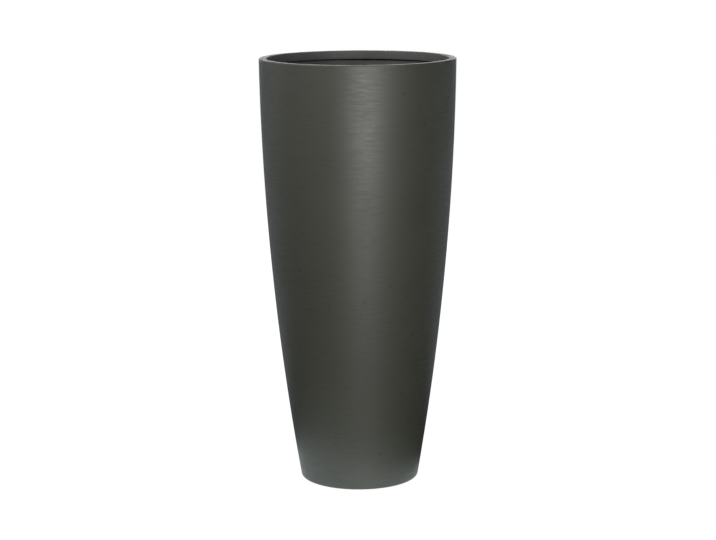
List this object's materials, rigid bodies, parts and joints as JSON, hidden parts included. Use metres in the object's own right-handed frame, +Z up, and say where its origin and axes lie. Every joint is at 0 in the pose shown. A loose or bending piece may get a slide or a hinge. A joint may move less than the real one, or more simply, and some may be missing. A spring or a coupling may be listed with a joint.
{
  "type": "planter",
  "caption": "Tall tapered floor planter with a bowed fibreglass wall, a flat turned-in rim, a lift-out perforated shelf on cleats, a plugged drain hole and rubber feet.",
  "frame": {"origin": "on the floor, at the middle of the four feet, on the pot's axis", "axes": "+Z up along the pot's axis; +X and +Y are level and pass through the shelf's cleats, and the shelf's two finger holes lie on X"},
  "size_m": [0.3659, 0.366, 0.8],
  "materials": {
    "composite_skin": "satin",
    "composite_inside": "matte",
    "laminate": "matte",
    "shelf_plastic": "matte",
    "rubber": "matte"
  },
  "bodies": {
    "pot": {"pot_wall": "composite_skin", "rim_return": "composite_inside", "base_plate": "laminate", "corner_tape": "laminate", "foot_pad_1": "rubber", "foot_pad_2": "rubber", "foot_pad_3": "rubber", "foot_pad_4": "rubber", "shelf_cleat_1": "laminate", "shelf_cleat_2": "laminate", "shelf_cleat_3": "laminate", "shelf_cleat_4": "laminate"},
    "shelf": {"planting_shelf": "shelf_plastic"},
    "plug": {"drain_plug": "rubber"}
  },
  "joints": [
    {"name": "shelf_lift", "type": "slide", "parent": "pot", "child": "shelf", "axis": [0, 0, 1], "range_m": [0, 0.4]},
    {"name": "plug_pull", "type": "slide", "parent": "pot", "child": "plug", "axis": [0, 0, 1], "range_m": [0, 0.06]}
  ]
}
